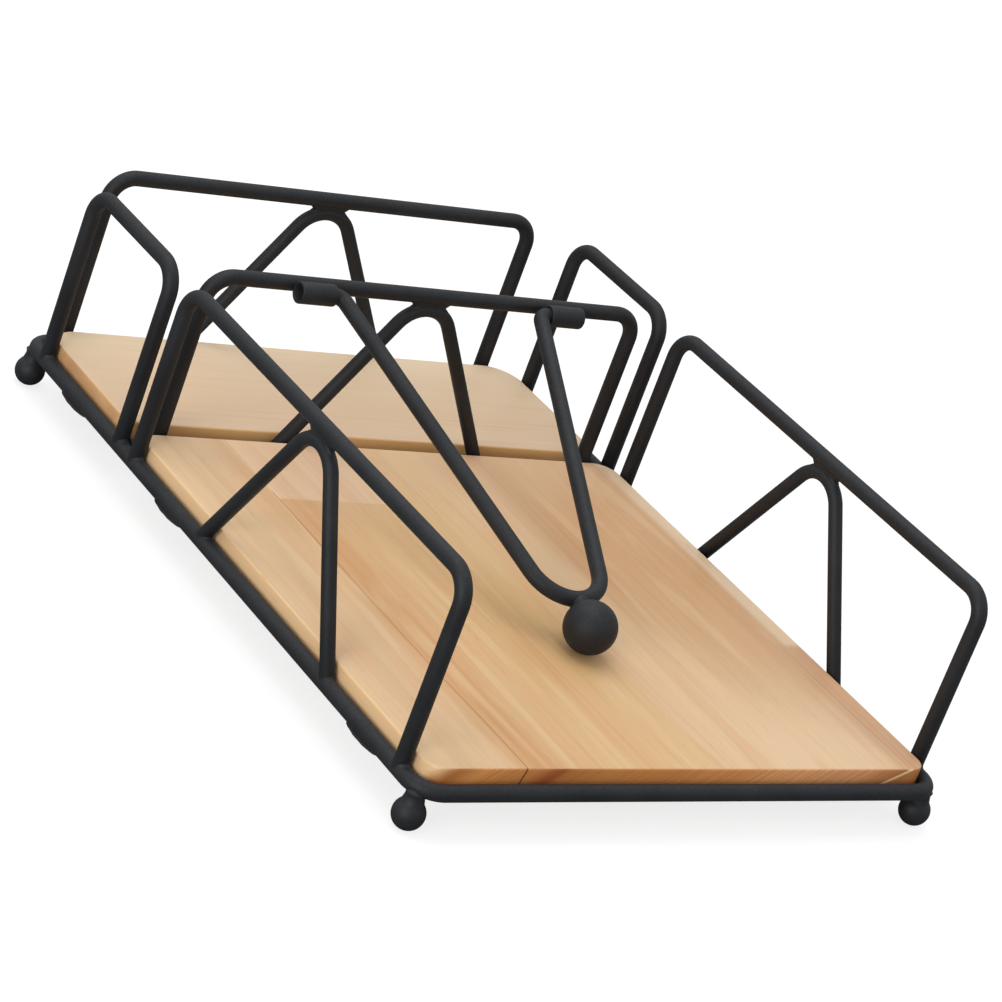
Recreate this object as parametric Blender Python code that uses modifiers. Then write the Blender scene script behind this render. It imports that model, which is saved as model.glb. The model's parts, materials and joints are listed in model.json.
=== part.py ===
"""Flat napkin holder: a powder-coated wire tray with two wooden boards and a weighted arm.

Metres, +Z up. The origin is on the table at the centre of the footprint, +X points to the
right and +Y to the rear. The napkin bay is in front of the divider hoop and the shaker bay
behind it. The arm hinges on the divider's rail and rests its ball on the front board.
"""

import math

import bmesh
import bpy
from mathutils import Matrix, Vector

MM = 0.001
COLLECTION_NAME = "napkin_holder"

# Clearances between neighbouring pieces
WELD_GAP = 0.1 * MM             # a welded or screwed joint, which the real bead or clamp closes
BALL_REST_GAP = 0.3 * MM        # the ball over the front board

# Base ring: one closed rod around both boards
RING_HALF_WIDTH = 91.9 * MM     # centreline
RING_HALF_DEPTH = 126.8 * MM
RING_CORNER_RADIUS = 8.0 * MM
RING_ROD_RADIUS = 2.45 * MM
RING_Z = 13.0 * MM

# Hoops: bent wires that stand on the ring and carry the rails
RAIL_Z = 71.2 * MM
HOOP_WIRE_RADIUS = 2.45 * MM
HOOP_BEND_RADIUS = 8.2 * MM
SIDE_HOOP_FRONT_SPAN = (-115.0 * MM, 49.5 * MM)
SIDE_HOOP_REAR_SPAN = (60.4 * MM, 113.7 * MM)
BACK_HOOP_HALF_SPAN = 80.4 * MM
DIVIDER_Y = 60.0 * MM
DIVIDER_HALF_SPAN = 80.0 * MM

# Braces: inverted V wires under a rail
BRACE_WIRE_RADIUS = 2.2 * MM
BRACE_HALF_ANGLE = math.radians(31.9)
BRACE_APEX_RADIUS = 11.2 * MM
SIDE_BRACE_Y = -34.2 * MM

# Weighted arm and its hinge
TUBE_RADIUS = 3.4 * MM
TUBE_BORE_RADIUS = 2.55 * MM
TUBE_SPAN = (40.2 * MM, 52.8 * MM)      # inner and outer end, each side of the middle
HINGE_Z = 71.0 * MM
ARM_WIRE_RADIUS = 2.45 * MM
ARM_HALF_WIDTH = 37.4 * MM              # where the legs' centrelines meet the hinge axis
ARM_TAPER = math.radians(13.44)
ARM_TIP_RADIUS = 12.8 * MM
ARM_SHOULDER_RADIUS = 3.6 * MM
ARM_PIN_END = 49.5 * MM
BALL_RADIUS = 8.1 * MM
BALL_REACH = 124.6 * MM                 # hinge axis to ball centre
BALL_NECK_RADIUS = 2.3 * MM

# Feet: turned balls under the ring's corners
FOOT_RADIUS = 4.8 * MM
FOOT_CENTRE_Z = 4.6 * MM
FOOT_NECK_RADIUS = 2.2 * MM
FOOT_X = 90.5 * MM
FOOT_Y = 123.3 * MM

# Boards
BOARD_HALF_WIDTH = 89.1 * MM
BOARD_TOP_Z = 18.9 * MM
BOARD_BOTTOM_Z = 10.55 * MM
BOARD_EDGE_ROUND = 0.6 * MM
FRONT_BOARD_SPAN = (-123.8 * MM, 57.3 * MM)
BACK_BOARD_SPAN = (64.0 * MM, 124.0 * MM)
FRONT_CORNER_RADIUS = 6.0 * MM
REAR_CORNER_RADIUS = 10.5 * MM
INNER_CORNER_RADIUS = 7.0 * MM          # beside the gap between the boards

# Straps under the ring, and the screws that hold the boards on them
STRAP_POSITIONS = {"front": -96.0 * MM, "middle": 24.5 * MM, "rear": 90.5 * MM}
STRAP_HALF_LENGTH = 91.5 * MM
STRAP_WIDTH = 12.5 * MM
STRAP_THICKNESS = 1.5 * MM
STRAP_EDGE_ROUND = 0.25 * MM
STRAP_HOLE_RADIUS = 1.9 * MM
SCREW_X = 60.0 * MM
SCREW_SHANK_RADIUS = 1.5 * MM
SCREW_HEAD_RADIUS = 3.5 * MM
SCREW_HEAD_HEIGHT = 1.9 * MM
SCREW_LENGTH = 7.6 * MM
SCREW_POINT_LENGTH = 2.2 * MM
PILOT_RADIUS = 1.6 * MM
RECESS_LENGTH = 3.8 * MM
RECESS_WIDTH = 0.9 * MM
RECESS_DEPTH = 1.1 * MM

# Facets
WIRE_BEVEL_RESOLUTION = 4               # twelve flats around a wire
BEND_STEP = math.radians(15.0)
TURN_STEPS = 24
BALL_STEP = math.radians(15.0)
SCREW_TURN_STEPS = 16

# Finishes: base colour, roughness, metallic
POWDER_COAT = ((0.036, 0.038, 0.041), 0.55, 0.3)
SCREW_STEEL = ((0.42, 0.41, 0.39), 0.35, 0.9)
BOARD_WOOD = ((0.72, 0.52, 0.33), 0.5, 0.0)

# Heights and lengths that follow from the sizes above
HINGE_Y = DIVIDER_Y - HOOP_WIRE_RADIUS - TUBE_RADIUS - WELD_GAP
STRAP_TOP_Z = RING_Z - RING_ROD_RADIUS - WELD_GAP
BALL_CENTRE_Z = BOARD_TOP_Z + BALL_REST_GAP + BALL_RADIUS
ARM_DROP = math.asin((HINGE_Z - BALL_CENTRE_Z) / BALL_REACH)
ARM_TIP_REACH = ARM_HALF_WIDTH / math.tan(ARM_TAPER) - ARM_TIP_RADIUS / math.sin(ARM_TAPER) + ARM_TIP_RADIUS
BRACE_TOP_Z = RAIL_Z - HOOP_WIRE_RADIUS - BRACE_WIRE_RADIUS - WELD_GAP


# ---- scene and finishes --------------------------------------------------------------


def clear_scene():
    for obj in list(bpy.data.objects):
        bpy.data.objects.remove(obj, do_unlink=True)


def add_collection(name):
    collection = bpy.data.collections.new(name)
    bpy.context.scene.collection.children.link(collection)
    return collection


def finish_material(name, finish):
    """A Principled BSDF material from a (colour, roughness, metallic) finish."""
    colour, roughness, metallic = finish
    material = bpy.data.materials.new(name)
    material.use_nodes = True
    shader = material.node_tree.nodes["Principled BSDF"]
    shader.inputs["Base Color"].default_value = (*colour, 1.0)
    shader.inputs["Roughness"].default_value = roughness
    shader.inputs["Metallic"].default_value = metallic
    return material


def give_finish(obj, finish):
    obj.data.materials.clear()
    obj.data.materials.append(finish_material(obj.name + "_finish", finish))


# ---- shape helpers -------------------------------------------------------------------


def bend_points(before, corner, after, radius):
    """Points along the arc that replaces a corner, from one straight run to the next."""
    back = (before - corner).normalized()
    ahead = (after - corner).normalized()
    half_angle = back.angle(ahead) / 2
    start = corner + back * (radius / math.tan(half_angle))
    centre = corner + (back + ahead).normalized() * (radius / math.sin(half_angle))
    turn = math.pi - 2 * half_angle
    steps = math.ceil(turn / BEND_STEP - 1e-6)
    axis = ahead.cross(back)
    return [
        centre + Matrix.Rotation(turn * i / steps, 3, axis) @ (start - centre)
        for i in range(steps + 1)
    ]


def bent_path(corners, radii, closed=False):
    """A wire's centreline: straight runs between corners, each corner bent to its radius."""
    count = len(corners)
    if closed:
        points = []
        for i, radius in enumerate(radii):
            points += bend_points(corners[i - 1], corners[i], corners[(i + 1) % count], radius)
        return points
    points = [corners[0]]
    for i, radius in enumerate(radii, start=1):
        points += bend_points(corners[i - 1], corners[i], corners[i + 1], radius)
    return points + [corners[-1]]


def curve_object(name, points, collection, closed):
    curve = bpy.data.curves.new(name, "CURVE")
    spline = curve.splines.new("POLY")
    spline.points.add(len(points) - 1)
    for point, place in zip(spline.points, points):
        point.co = (*place, 1.0)
    spline.use_cyclic_u = closed
    obj = bpy.data.objects.new(name, curve)
    collection.objects.link(obj)
    return obj


def as_mesh(curve_obj, collection):
    """Replace a curve object by a closed mesh of the same shape, so that it can be cut."""
    bpy.context.view_layer.update()
    name = curve_obj.name
    place = curve_obj.matrix_world.copy()
    evaluated = curve_obj.evaluated_get(bpy.context.evaluated_depsgraph_get())
    mesh = bpy.data.meshes.new_from_object(evaluated)
    bpy.data.objects.remove(curve_obj, do_unlink=True)
    mesh.name = name
    weld_mesh(mesh)
    obj = bpy.data.objects.new(name, mesh)
    obj.matrix_world = place
    collection.objects.link(obj)
    return obj


def weld_mesh(mesh):
    bm = bmesh.new()
    bm.from_mesh(mesh)
    bmesh.ops.remove_doubles(bm, verts=bm.verts, dist=0.001 * MM)
    bmesh.ops.recalc_face_normals(bm, faces=bm.faces)
    bm.to_mesh(mesh)
    bm.free()


def wire(name, points, radius, collection, closed=False):
    """A round wire along a centreline, as a smooth-shaded mesh."""
    obj = curve_object(name, points, collection, closed)
    obj.data.dimensions = "3D"
    obj.data.bevel_depth = radius
    obj.data.bevel_resolution = WIRE_BEVEL_RESOLUTION
    obj.data.use_fill_caps = not closed
    obj = as_mesh(obj, collection)
    obj.data.shade_smooth()
    obj.data.set_sharp_from_angle(angle=math.radians(50))
    return obj


def turned(name, profile, collection, steps=TURN_STEPS, closed=False):
    """A body of revolution about local Z from (radius, height) points, outer side downwards."""
    mesh = bpy.data.meshes.new(name)
    edges = [(i, i + 1) for i in range(len(profile) - 1)]
    if closed:
        edges.append((len(profile) - 1, 0))
    mesh.from_pydata([(radius, 0.0, height) for radius, height in profile], edges, [])
    obj = bpy.data.objects.new(name, mesh)
    collection.objects.link(obj)
    screw = obj.modifiers.new("Turn", "SCREW")
    screw.steps = steps
    screw.render_steps = steps
    screw.use_merge_vertices = True
    screw.merge_threshold = 0.00001
    return obj


def ball_profile(radius, centre_z, from_height, to_height):
    """Points down a ball's outline between two heights, (radius, height) pairs."""
    start = math.asin((from_height - centre_z) / radius)
    end = math.asin(max(-1.0, (to_height - centre_z) / radius))
    steps = math.ceil((start - end) / BALL_STEP)
    angles = [start + (end - start) * i / steps for i in range(steps + 1)]
    return [(radius * math.cos(a), centre_z + radius * math.sin(a)) for a in angles]


def box(name, size, collection):
    mesh = bpy.data.meshes.new(name)
    bm = bmesh.new()
    bmesh.ops.create_cube(bm, size=1.0)
    bmesh.ops.scale(bm, vec=Vector(size), verts=bm.verts)
    bm.to_mesh(mesh)
    bm.free()
    obj = bpy.data.objects.new(name, mesh)
    collection.objects.link(obj)
    return obj


def upright_cylinder(name, radius, bottom_z, top_z, collection):
    mesh = bpy.data.meshes.new(name)
    bm = bmesh.new()
    bmesh.ops.create_cone(
        bm, cap_ends=True, segments=SCREW_TURN_STEPS, radius1=radius, radius2=radius, depth=top_z - bottom_z
    )
    bm.to_mesh(mesh)
    bm.free()
    obj = bpy.data.objects.new(name, mesh)
    obj.location.z = (top_z + bottom_z) / 2
    collection.objects.link(obj)
    return obj


def round_edges(obj, width, segments):
    bevel = obj.modifiers.new("Edges", "BEVEL")
    bevel.width = width
    bevel.segments = segments
    bevel.limit_method = "ANGLE"
    bevel.angle_limit = math.radians(30)


def mark_cutter(obj):
    obj.hide_render = True
    obj.display_type = "WIRE"
    return obj


def cut(obj, cutter):
    difference = obj.modifiers.new("Cut " + cutter.name, "BOOLEAN")
    difference.operation = "DIFFERENCE"
    difference.solver = "EXACT"
    difference.object = cutter


# ---- frame ---------------------------------------------------------------------------


def ring_path():
    corners = [
        Vector((RING_HALF_WIDTH * x, RING_HALF_DEPTH * y, RING_Z))
        for x, y in ((1, -1), (1, 1), (-1, 1), (-1, -1))
    ]
    return bent_path(corners, [RING_CORNER_RADIUS] * len(corners), closed=True)


def divider_rod_path():
    half = RING_HALF_WIDTH - RING_ROD_RADIUS - WELD_GAP
    return [Vector((-half, DIVIDER_Y, RING_Z)), Vector((half, DIVIDER_Y, RING_Z))]


def make_base(parts, cutters):
    """The ring and the rod across it, each with the slightly fatter cutter that saddles
    whatever stands on it."""
    ring = wire("base_ring", ring_path(), RING_ROD_RADIUS, parts, closed=True)
    rod = wire("mid_cross_rod", divider_rod_path(), RING_ROD_RADIUS, parts)
    saddle = RING_ROD_RADIUS + WELD_GAP
    ring_saddle = mark_cutter(wire("ring_saddle", ring_path(), saddle, cutters, closed=True))
    rod_saddle = mark_cutter(wire("rod_saddle", divider_rod_path(), saddle, cutters))
    for obj in (ring, rod):
        give_finish(obj, POWDER_COAT)
    return ring_saddle, rod_saddle


def hoop_path(foot_a, foot_b):
    """Up from one foot, along the rail and down to the other foot."""
    rise = Vector((0, 0, RAIL_Z - RING_Z))
    return bent_path([foot_a, foot_a + rise, foot_b + rise, foot_b], [HOOP_BEND_RADIUS] * 2)


def make_hoops(parts, ring_saddle, rod_saddle):
    feet = {}
    for side, x in (("left", -RING_HALF_WIDTH), ("right", RING_HALF_WIDTH)):
        for bay, span in (("front", SIDE_HOOP_FRONT_SPAN), ("rear", SIDE_HOOP_REAR_SPAN)):
            ends = [Vector((x, y, RING_Z)) for y in span]
            feet[f"{side}_{bay}_hoop"] = (ends, ring_saddle)
    back_ends = [Vector((x, RING_HALF_DEPTH, RING_Z)) for x in (-BACK_HOOP_HALF_SPAN, BACK_HOOP_HALF_SPAN)]
    divider_ends = [Vector((x, DIVIDER_Y, RING_Z)) for x in (-DIVIDER_HALF_SPAN, DIVIDER_HALF_SPAN)]
    feet["back_hoop"] = (back_ends, ring_saddle)
    feet["divider_hoop"] = (divider_ends, rod_saddle)
    for name, (ends, saddle) in feet.items():
        hoop = wire(name, hoop_path(*ends), HOOP_WIRE_RADIUS, parts)
        cut(hoop, saddle)
        give_finish(hoop, POWDER_COAT)


def brace_path(centre, along):
    """An inverted V about a point on the rod below, spread in one direction along it."""
    sharp_apex = BRACE_TOP_Z - BRACE_APEX_RADIUS + BRACE_APEX_RADIUS / math.sin(BRACE_HALF_ANGLE)
    rise = sharp_apex - RING_Z
    spread = rise * math.tan(BRACE_HALF_ANGLE)
    apex = centre + Vector((0, 0, rise))
    return bent_path([centre - along * spread, apex, centre + along * spread], [BRACE_APEX_RADIUS])


def make_braces(parts, ring_saddle, rod_saddle):
    across = Vector((1, 0, 0))
    lengthwise = Vector((0, 1, 0))
    places = {
        "left_brace": (Vector((-RING_HALF_WIDTH, SIDE_BRACE_Y, RING_Z)), lengthwise, ring_saddle),
        "right_brace": (Vector((RING_HALF_WIDTH, SIDE_BRACE_Y, RING_Z)), lengthwise, ring_saddle),
        "back_brace": (Vector((0, RING_HALF_DEPTH, RING_Z)), across, ring_saddle),
        "divider_brace": (Vector((0, DIVIDER_Y, RING_Z)), across, rod_saddle),
    }
    for name, (centre, along, saddle) in places.items():
        brace = wire(name, brace_path(centre, along), BRACE_WIRE_RADIUS, parts)
        cut(brace, saddle)
        give_finish(brace, POWDER_COAT)


def make_feet(parts, ring_saddle):
    neck_base = FOOT_CENTRE_Z + math.sqrt(FOOT_RADIUS**2 - FOOT_NECK_RADIUS**2)
    outline = [(0, RING_Z), (FOOT_NECK_RADIUS, RING_Z)]
    outline += ball_profile(FOOT_RADIUS, FOOT_CENTRE_Z, neck_base, 0.0)
    outline += [(0, 0)]
    for row, y in (("front", -FOOT_Y), ("rear", FOOT_Y)):
        for side, x in (("left", -FOOT_X), ("right", FOOT_X)):
            foot = turned(f"{row}_{side}_foot", outline, parts)
            foot.location = (x, y, 0)
            cut(foot, ring_saddle)
            give_finish(foot, POWDER_COAT)


# ---- hinge and weighted arm ----------------------------------------------------------


def make_hinge_tubes(parts):
    inner, outer = TUBE_SPAN
    half = (outer - inner) / 2
    wall = [(TUBE_RADIUS, half), (TUBE_RADIUS, -half), (TUBE_BORE_RADIUS, -half), (TUBE_BORE_RADIUS, half)]
    for side, sign in (("left", -1), ("right", 1)):
        tube = turned(f"{side}_hinge_tube", wall, parts, closed=True)
        tube.location = (sign * (inner + outer) / 2, HINGE_Y, HINGE_Z)
        tube.rotation_euler.y = math.radians(90)
        tube.data.shade_smooth()
        give_finish(tube, POWDER_COAT)


def arm_path():
    """In the arm's own plane: a pin in each tube, the shoulders, the legs and the round tip."""
    sharp_tip = Vector((0, -ARM_HALF_WIDTH / math.tan(ARM_TAPER), 0))
    corners = [
        Vector((-ARM_PIN_END, 0, 0)),
        Vector((-ARM_HALF_WIDTH, 0, 0)),
        sharp_tip,
        Vector((ARM_HALF_WIDTH, 0, 0)),
        Vector((ARM_PIN_END, 0, 0)),
    ]
    return bent_path(corners, [ARM_SHOULDER_RADIUS, ARM_TIP_RADIUS, ARM_SHOULDER_RADIUS])


def weight_profile():
    """The ball about the origin, with a neck that reaches up to the arm's tip."""
    neck_base = math.sqrt(BALL_RADIUS**2 - BALL_NECK_RADIUS**2)
    outline = [(0, BALL_REACH - ARM_TIP_REACH), (BALL_NECK_RADIUS, BALL_REACH - ARM_TIP_REACH)]
    outline += ball_profile(BALL_RADIUS, 0.0, neck_base, -BALL_RADIUS)
    outline[-1] = (0, -BALL_RADIUS)
    return outline


def make_arm(parts, cutters):
    """The moving body: its pieces hang from an empty on the hinge axis, tilted to rest."""
    hinge = bpy.data.objects.new("arm_hinge_axis", None)
    hinge.location = (0, HINGE_Y, HINGE_Z)
    hinge.rotation_euler.x = ARM_DROP
    parts.objects.link(hinge)

    arm = wire("pivot_arm", arm_path(), ARM_WIRE_RADIUS, parts)
    ball = turned("weight_ball", weight_profile(), parts)
    ball.location.y = -BALL_REACH
    ball.rotation_euler.x = math.radians(-90)
    saddle = mark_cutter(wire("arm_saddle", arm_path(), ARM_WIRE_RADIUS + WELD_GAP, cutters))
    cut(ball, saddle)
    for obj in (arm, ball, saddle):
        obj.parent = hinge
    for obj in (arm, ball):
        give_finish(obj, POWDER_COAT)


# ---- boards, straps and screws -------------------------------------------------------


def board_outline(span, front_radius, rear_radius):
    """Anticlockwise outline of a board with rounded corners."""
    front, rear = span
    half = BOARD_HALF_WIDTH
    corners = [Vector((half, front, 0)), Vector((half, rear, 0)), Vector((-half, rear, 0)), Vector((-half, front, 0))]
    return bent_path(corners, [front_radius, rear_radius, rear_radius, front_radius], closed=True)


def make_board(name, outline, parts):
    board = curve_object(name, outline, parts, closed=True)
    board.data.dimensions = "2D"
    board.data.fill_mode = "BOTH"
    board.data.extrude = (BOARD_TOP_Z - BOARD_BOTTOM_Z) / 2
    board.location.z = (BOARD_TOP_Z + BOARD_BOTTOM_Z) / 2
    board = as_mesh(board, parts)
    round_edges(board, BOARD_EDGE_ROUND, 2)
    give_finish(board, BOARD_WOOD)
    return board


def screw_mesh(parts, cutters):
    """One pan-head screw, point up, with the underside of its head at height zero."""
    outline = [
        (0, SCREW_LENGTH),
        (SCREW_SHANK_RADIUS, SCREW_LENGTH - SCREW_POINT_LENGTH),
        (SCREW_SHANK_RADIUS, 0),
        (SCREW_HEAD_RADIUS, 0),
        (SCREW_HEAD_RADIUS, -0.5 * SCREW_HEAD_HEIGHT),
        (0.8 * SCREW_HEAD_RADIUS, -0.85 * SCREW_HEAD_HEIGHT),
        (0.45 * SCREW_HEAD_RADIUS, -SCREW_HEAD_HEIGHT),
        (0, -SCREW_HEAD_HEIGHT),
    ]
    pattern = turned("screw_pattern", outline, parts, steps=SCREW_TURN_STEPS)
    slots = []
    for name, size in (
        ("recess_across", (RECESS_LENGTH, RECESS_WIDTH, 2 * RECESS_DEPTH)),
        ("recess_along", (RECESS_WIDTH, RECESS_LENGTH, 2 * RECESS_DEPTH)),
    ):
        slot = mark_cutter(box(name, size, cutters))
        slot.location.z = -SCREW_HEAD_HEIGHT
        cut(pattern, slot)
        slots.append(slot)
    bpy.context.view_layer.update()
    evaluated = pattern.evaluated_get(bpy.context.evaluated_depsgraph_get())
    mesh = bpy.data.meshes.new_from_object(evaluated)
    for obj in (pattern, *slots):
        bpy.data.objects.remove(obj, do_unlink=True)
    mesh.name = "board_screw"
    mesh.materials.append(finish_material("board_screw_finish", SCREW_STEEL))
    return mesh


def make_strap(name, y, parts, cutters):
    strap = box(name, (2 * STRAP_HALF_LENGTH, STRAP_WIDTH, STRAP_THICKNESS), parts)
    strap.location = (0, y, STRAP_TOP_Z - STRAP_THICKNESS / 2)
    round_edges(strap, STRAP_EDGE_ROUND, 1)
    for side, x in (("left", -SCREW_X), ("right", SCREW_X)):
        bottom = STRAP_TOP_Z - 2 * STRAP_THICKNESS
        hole = upright_cylinder(f"{name}_{side}_hole", STRAP_HOLE_RADIUS, bottom, BOARD_BOTTOM_Z, cutters)
        hole.location.xy = (x, y)
        cut(strap, mark_cutter(hole))
    give_finish(strap, POWDER_COAT)


def make_tray(parts, cutters):
    """The two boards, the straps that carry them and the screws up through the straps."""
    front_outline = board_outline(FRONT_BOARD_SPAN, FRONT_CORNER_RADIUS, INNER_CORNER_RADIUS)
    back_outline = board_outline(BACK_BOARD_SPAN, INNER_CORNER_RADIUS, REAR_CORNER_RADIUS)
    front = make_board("front_board", front_outline, parts)
    back = make_board("back_board", back_outline, parts)
    board_over = {"front": front, "middle": front, "rear": back}
    screw = screw_mesh(parts, cutters)
    head_seat_z = STRAP_TOP_Z - STRAP_THICKNESS - WELD_GAP
    for row, y in STRAP_POSITIONS.items():
        make_strap(f"{row}_strap", y, parts, cutters)
        for side, x in (("left", -SCREW_X), ("right", SCREW_X)):
            obj = bpy.data.objects.new(f"{row}_{side}_screw", screw)
            obj.location = (x, y, head_seat_z)
            parts.objects.link(obj)
            pilot_top = head_seat_z + SCREW_LENGTH + 2 * WELD_GAP
            pilot = upright_cylinder(f"{row}_{side}_pilot", PILOT_RADIUS, STRAP_TOP_Z, pilot_top, cutters)
            pilot.location.xy = (x, y)
            cut(board_over[row], mark_cutter(pilot))


def main():
    clear_scene()
    parts = add_collection(COLLECTION_NAME)
    cutters = add_collection("cutters")
    ring_saddle, rod_saddle = make_base(parts, cutters)
    make_hoops(parts, ring_saddle, rod_saddle)
    make_braces(parts, ring_saddle, rod_saddle)
    make_feet(parts, ring_saddle)
    make_hinge_tubes(parts)
    make_arm(parts, cutters)
    make_tray(parts, cutters)


main()
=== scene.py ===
"""The looks of the flat napkin holder: smooth coated wire, weld beads, wooden boards and screws.

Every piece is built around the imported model, in metres, from its nodes' boxes and from the few
bend sizes named below, and rides on the body that its node belongs to.
"""

import json
import math

import bmesh
import bpy
from mathutils import Matrix, Vector


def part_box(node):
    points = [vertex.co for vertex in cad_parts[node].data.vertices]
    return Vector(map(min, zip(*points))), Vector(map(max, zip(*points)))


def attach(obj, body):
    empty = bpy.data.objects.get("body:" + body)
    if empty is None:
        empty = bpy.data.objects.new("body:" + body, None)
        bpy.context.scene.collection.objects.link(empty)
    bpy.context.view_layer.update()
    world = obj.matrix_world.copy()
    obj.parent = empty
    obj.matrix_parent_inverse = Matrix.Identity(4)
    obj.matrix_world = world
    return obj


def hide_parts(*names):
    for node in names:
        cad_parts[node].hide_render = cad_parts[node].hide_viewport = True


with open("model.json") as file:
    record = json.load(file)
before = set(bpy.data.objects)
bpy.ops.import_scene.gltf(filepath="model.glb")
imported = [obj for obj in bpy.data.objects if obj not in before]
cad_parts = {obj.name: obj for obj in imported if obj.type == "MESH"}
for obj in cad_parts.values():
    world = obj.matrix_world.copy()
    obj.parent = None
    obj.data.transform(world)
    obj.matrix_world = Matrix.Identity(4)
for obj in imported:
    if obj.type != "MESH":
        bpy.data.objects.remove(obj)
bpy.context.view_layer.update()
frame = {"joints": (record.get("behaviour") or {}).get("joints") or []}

MM = 0.001
UP = Vector((0, 0, 1))
ACROSS = Vector((1, 0, 0))
LENGTHWISE = Vector((0, 1, 0))

# Bends that a node's box can't show
RING_CORNER_RADIUS = 8.0 * MM
HOOP_BEND_RADIUS = 8.2 * MM
BRACE_HALF_ANGLE = math.radians(31.9)
BRACE_APEX_RADIUS = 11.2 * MM
ARM_HALF_WIDTH = 37.4 * MM
ARM_TAPER = math.radians(13.44)
ARM_TIP_RADIUS = 12.8 * MM
ARM_SHOULDER_RADIUS = 3.6 * MM
BALL_REACH = 124.6 * MM
BALL_REST_GAP = 0.3 * MM
TUBE_BORE_RADIUS = 2.55 * MM
FOOT_NECK_RADIUS = 2.2 * MM
BALL_NECK_RADIUS = 2.3 * MM
FRONT_CORNER_RADIUS = 6.0 * MM
REAR_CORNER_RADIUS = 10.5 * MM
INNER_CORNER_RADIUS = 7.0 * MM
SCREW_SHANK_RADIUS = 1.5 * MM

# Smoothness
BEND_STEP = math.radians(5.0)
WIRE_SIDES = 32
TURN_SIDES = 64

# Welds
WELD_FLARE = 1.0 * MM           # how far a bead spreads over the rod
WELD_CLIMB = 1.3 * MM           # and up the wire that stands on it
WEB_REACH = 7.4 * MM            # a brace's web, each way from its middle
WEB_HALF_THICKNESS = 1.6 * MM


# ---- the frame's own sizes -----------------------------------------------------------


def box_centre(node):
    low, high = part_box(node)
    return (low + high) / 2


def half_size(node):
    low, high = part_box(node)
    return (high - low) / 2


ring_half = half_size("base_ring")
ROD_RADIUS = ring_half.z
RING_Z = box_centre("base_ring").z
RING_HALF_WIDTH = ring_half.x - ROD_RADIUS
RING_HALF_DEPTH = ring_half.y - ROD_RADIUS
HOOP_RADIUS = half_size("left_front_hoop").x
BRACE_RADIUS = half_size("left_brace").x
RAIL_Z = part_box("divider_hoop")[1].z - HOOP_RADIUS
BRACE_TOP_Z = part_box("left_brace")[1].z - BRACE_RADIUS
DIVIDER_Y = box_centre("divider_hoop").y
HINGE = Vector(frame["joints"][0]["pos_m"])
TUBE_RADIUS = half_size("left_hinge_tube").z
BALL_RADIUS = half_size("weight_ball").x
BOARD_TOP_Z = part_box("front_board")[1].z
BALL_CENTRE_Z = BOARD_TOP_Z + BALL_REST_GAP + BALL_RADIUS
ARM_DROP = math.asin((HINGE.z - BALL_CENTRE_Z) / BALL_REACH)


# ---- mesh building -------------------------------------------------------------------


def bend_points(before, corner, after, radius):
    """Points along the arc that replaces a corner."""
    back = (before - corner).normalized()
    ahead = (after - corner).normalized()
    half_angle = back.angle(ahead) / 2
    start = corner + back * (radius / math.tan(half_angle))
    centre = corner + (back + ahead).normalized() * (radius / math.sin(half_angle))
    turn = math.pi - 2 * half_angle
    steps = math.ceil(turn / BEND_STEP - 1e-6)
    axis = ahead.cross(back)
    return [
        centre + Matrix.Rotation(turn * i / steps, 3, axis) @ (start - centre)
        for i in range(steps + 1)
    ]


def bent_path(corners, radii, closed=False):
    """Straight runs between corners, each corner bent to its radius."""
    count = len(corners)
    if closed:
        points = []
        for i, radius in enumerate(radii):
            points += bend_points(corners[i - 1], corners[i], corners[(i + 1) % count], radius)
        return points
    points = [corners[0]]
    for i, radius in enumerate(radii, start=1):
        points += bend_points(corners[i - 1], corners[i], corners[i + 1], radius)
    return points + [corners[-1]]


def join_rows(bm, row, other):
    """Faces between two rows of vertices; a row of one is a pole."""
    count = max(len(row), len(other))
    for i in range(count):
        j = (i + 1) % count
        if len(row) == 1:
            bm.faces.new((row[0], other[j], other[i]))
        elif len(other) == 1:
            bm.faces.new((row[i], row[j], other[0]))
        else:
            bm.faces.new((row[i], row[j], other[j], other[i]))


def loft(bm, rings, closed=False):
    """A closed shell through rings of points. An open loft is capped unless it ends in poles."""
    rows = [[bm.verts.new(point) for point in ring] for ring in rings]
    pairs = list(zip(rows, rows[1:]))
    if closed:
        pairs.append((rows[-1], rows[0]))
    for row, other in pairs:
        join_rows(bm, row, other)
    if not closed:
        for row in (rows[0], rows[-1]):
            if len(row) > 1:
                bm.faces.new(row)


def circle(centre, u, v, radius_u, radius_v=None, sides=WIRE_SIDES):
    radius_v = radius_u if radius_v is None else radius_v
    angles = [2 * math.pi * i / sides for i in range(sides)]
    return [centre + u * (radius_u * math.cos(a)) + v * (radius_v * math.sin(a)) for a in angles]


def sweep(bm, path, normal, radius, closed=False, end_round=0.3 * MM):
    """A round wire along a path that lies in the plane with this normal."""
    count = len(path)
    rings = []
    for i, point in enumerate(path):
        before = path[i - 1] if closed or i > 0 else point
        after = path[(i + 1) % count] if closed or i < count - 1 else point
        side = (after - before).normalized().cross(normal)
        rings.append(circle(point, side, normal, radius))
    if not closed:
        rings = [end_ring(path[0], path[1], normal, radius, end_round)] + rings
        rings = rings + [end_ring(path[-1], path[-2], normal, radius, end_round, flip=True)]
    loft(bm, rings, closed)


def end_ring(end, inward, normal, radius, end_round, flip=False):
    """The small chamfer at a cut wire's end."""
    out = (end - inward).normalized()
    along = out if flip else -out
    return circle(end + out * end_round, along.cross(normal), normal, radius - end_round)


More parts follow.
